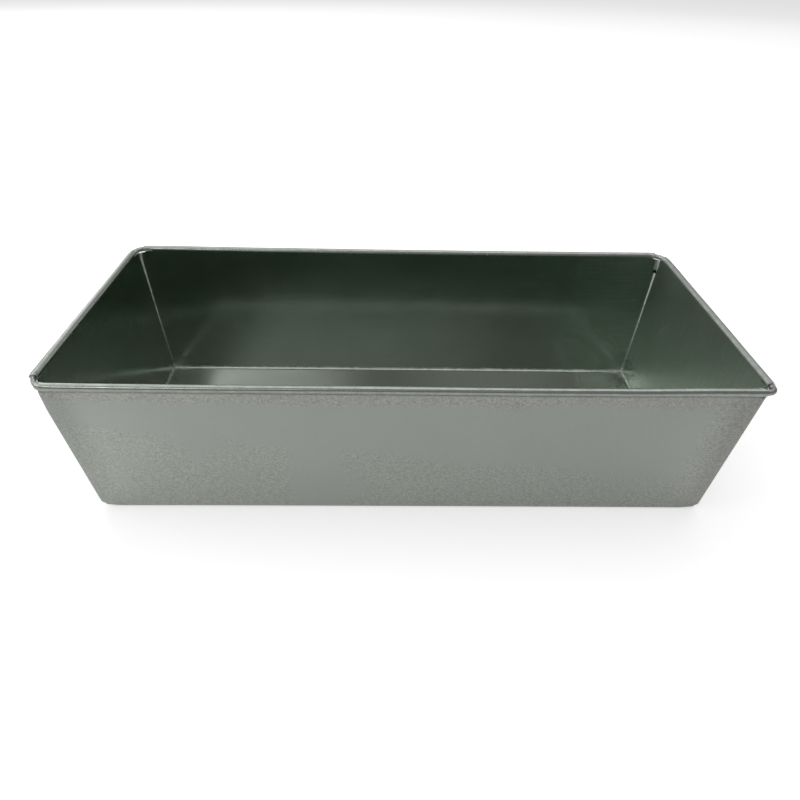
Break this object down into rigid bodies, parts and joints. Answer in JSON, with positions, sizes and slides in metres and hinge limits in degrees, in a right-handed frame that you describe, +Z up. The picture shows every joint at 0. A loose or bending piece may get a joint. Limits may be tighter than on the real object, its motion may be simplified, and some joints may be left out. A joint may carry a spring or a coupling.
{
  "type": "ice block tray",
  "caption": "Open flared rectangular ice tray folded from sheet metal, with folded watertight corners and a rim rolled over a wire.",
  "frame": {"origin": "centre of the pan's outline at its underside, where it rests", "axes": "+X along the pan's length, +Y across it towards the back long wall, +Z up out of the open mouth"},
  "size_m": [0.305, 0.1372, 0.078],
  "materials": {
    "pan_sheet": "mill-finish rolled sheet, satin, lightly mottled and scuffed",
    "rim_wire": "drawn wire, dull"
  },
  "bodies": {
    "root": {"pan_sheet": "pan_sheet", "rim_wire": "rim_wire"}
  },
  "joints": []
}
